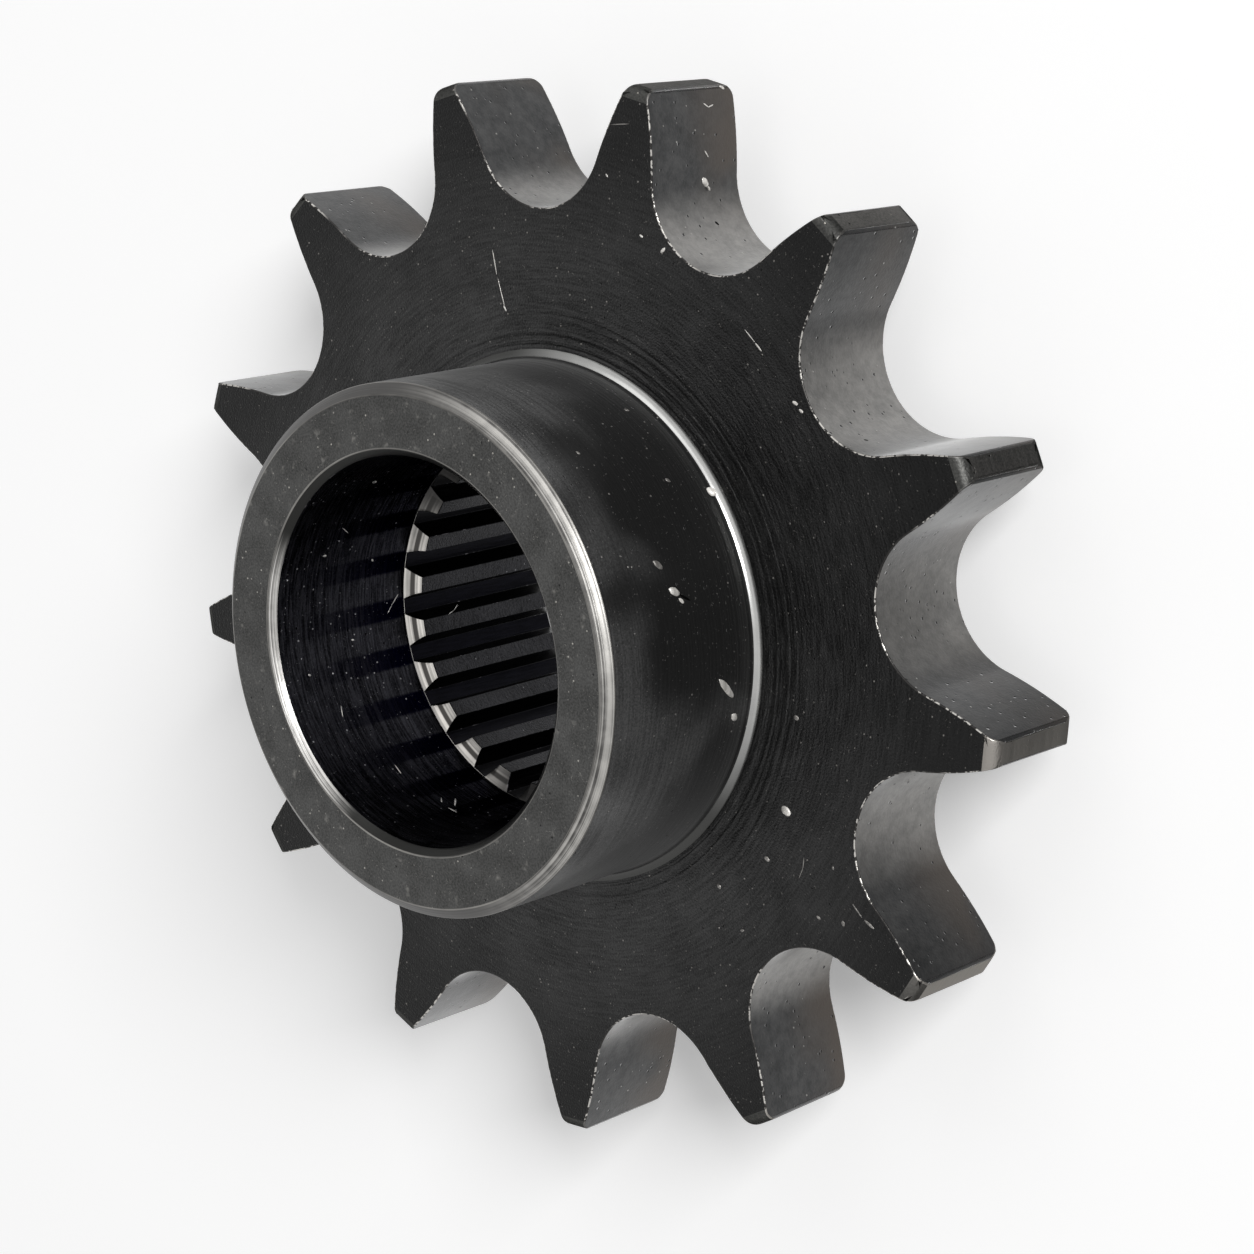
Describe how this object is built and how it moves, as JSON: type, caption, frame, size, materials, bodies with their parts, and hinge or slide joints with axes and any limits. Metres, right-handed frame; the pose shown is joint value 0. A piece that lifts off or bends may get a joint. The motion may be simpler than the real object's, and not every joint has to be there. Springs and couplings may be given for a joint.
{
  "type": "chain sprocket",
  "caption": "Toothed disc for a roller chain, with a long turned hub in front, a short boss behind, and an internally splined bore behind a smooth counterbore.",
  "frame": {"origin": "centre of the rear boss's flat end, on the axis", "axes": "+Z along the axis towards the hub's end, +X through the middle of one chain tooth"},
  "size_m": [0.0578, 0.0582, 0.021],
  "materials": {
    "blackened_steel": "black oxide over turned and hobbed steel"
  },
  "bodies": {
    "root": {"sprocket": "blackened_steel"}
  },
  "joints": []
}
